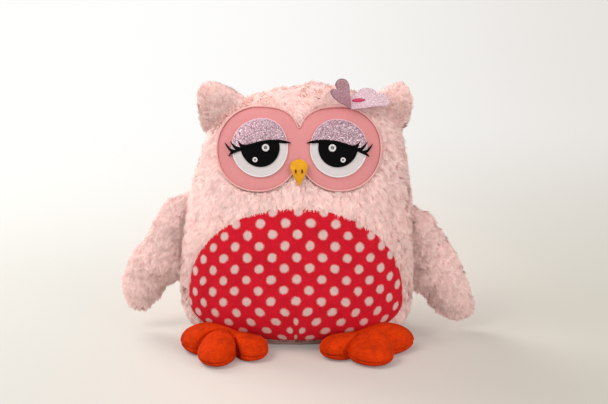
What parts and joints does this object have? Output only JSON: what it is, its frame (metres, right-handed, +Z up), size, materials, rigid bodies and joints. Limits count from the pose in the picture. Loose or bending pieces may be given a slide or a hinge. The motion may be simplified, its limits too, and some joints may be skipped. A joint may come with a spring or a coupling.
{
  "type": "stuffed toy owl",
  "caption": "Stuffed toy owl with two wings, two ears, two three-toed feet, a half-lidded face, a dotted belly patch and a folded butterfly on the head.",
  "frame": {"origin": "middle of the flat base panel, at floor level", "axes": "+X to the owl's own left and +Z up; the owl faces -Y"},
  "size_m": [0.3604, 0.1886, 0.2632],
  "materials": {
    "black_thread": "satin",
    "brown_thread": "matte",
    "butterfly_glitter": "glitter",
    "fibre_filling": "matte",
    "grey_felt": "matte",
    "lilac_glitter": "glitter",
    "magenta_thread": "satin",
    "orange_velour": "matte",
    "pink_fur": "matte",
    "red_fleece": "matte",
    "rose_edging": "satin",
    "rose_velour": "matte",
    "white_thread": "satin",
    "yellow_felt": "matte"
  },
  "bodies": {
    "body": {"back_cover_left": "pink_fur", "back_cover_right": "pink_fur", "base_panel": "pink_fur", "beak": "yellow_felt", "belly_patch": "red_fleece", "body_filling": "fibre_filling", "butterfly_body": "magenta_thread", "butterfly_wing_flat": "butterfly_glitter", "ear_back_left": "pink_fur", "ear_back_right": "pink_fur", "ear_filling_left": "fibre_filling", "ear_filling_right": "fibre_filling", "ear_front_left": "pink_fur", "ear_front_right": "pink_fur", "eye_glint_large_left": "white_thread", "eye_glint_large_right": "white_thread", "eye_glint_small_left": "white_thread", "eye_glint_small_right": "white_thread", "eye_rim_left": "white_thread", "eye_rim_right": "white_thread", "eye_white_left": "grey_felt", "eye_white_right": "grey_felt", "eyelid_left": "lilac_glitter", "eyelid_right": "lilac_glitter", "face_mask": "rose_velour", "front_cover": "pink_fur", "lid_line_left": "black_thread", "lid_line_right": "black_thread", "mask_edging": "rose_edging", "nostril_left": "brown_thread", "nostril_right": "brown_thread", "pupil_left": "black_thread", "pupil_right": "black_thread"},
    "wing_left": {"wing_back_left": "pink_fur", "wing_filling_left": "fibre_filling", "wing_front_left": "pink_fur"},
    "foot_left": {"foot_filling_left": "fibre_filling", "foot_sole_left": "orange_velour", "foot_upper_left": "orange_velour"},
    "wing_right": {"wing_back_right": "pink_fur", "wing_filling_right": "fibre_filling", "wing_front_right": "pink_fur"},
    "foot_right": {"foot_filling_right": "fibre_filling", "foot_sole_right": "orange_velour", "foot_upper_right": "orange_velour"},
    "butterfly_raised": {"butterfly_wing_raised": "butterfly_glitter"}
  },
  "joints": [
    {"name": "wing_left_swing", "type": "hinge", "parent": "body", "child": "wing_left", "pos_m": [0.11642, 0, 0.082], "axis": [-0.0163, 0, 0.9999], "range_deg": [-45, 45], "stiffness_Nm_per_rad": 0.02},
    {"name": "wing_right_swing", "type": "hinge", "parent": "body", "child": "wing_right", "pos_m": [-0.11604, 0, 0.09], "axis": [0.1028, 0, 0.9947], "range_deg": [-45, 45], "stiffness_Nm_per_rad": 0.02},
    {"name": "foot_left_droop", "type": "hinge", "parent": "body", "child": "foot_left", "pos_m": [0.068, -0.042, 0], "axis": [1, 0, 0], "range_deg": [0, 35]},
    {"name": "foot_right_droop", "type": "hinge", "parent": "body", "child": "foot_right", "pos_m": [-0.068, -0.042, 0], "axis": [1, 0, 0], "range_deg": [0, 35]},
    {"name": "butterfly_fold", "type": "hinge", "parent": "body", "child": "butterfly_raised", "pos_m": [0.05102, -0.02377, 0.23708], "axis": [0, 0.7729, 0.6345], "range_deg": [-45, 28], "stiffness_Nm_per_rad": 0.002}
  ]
}
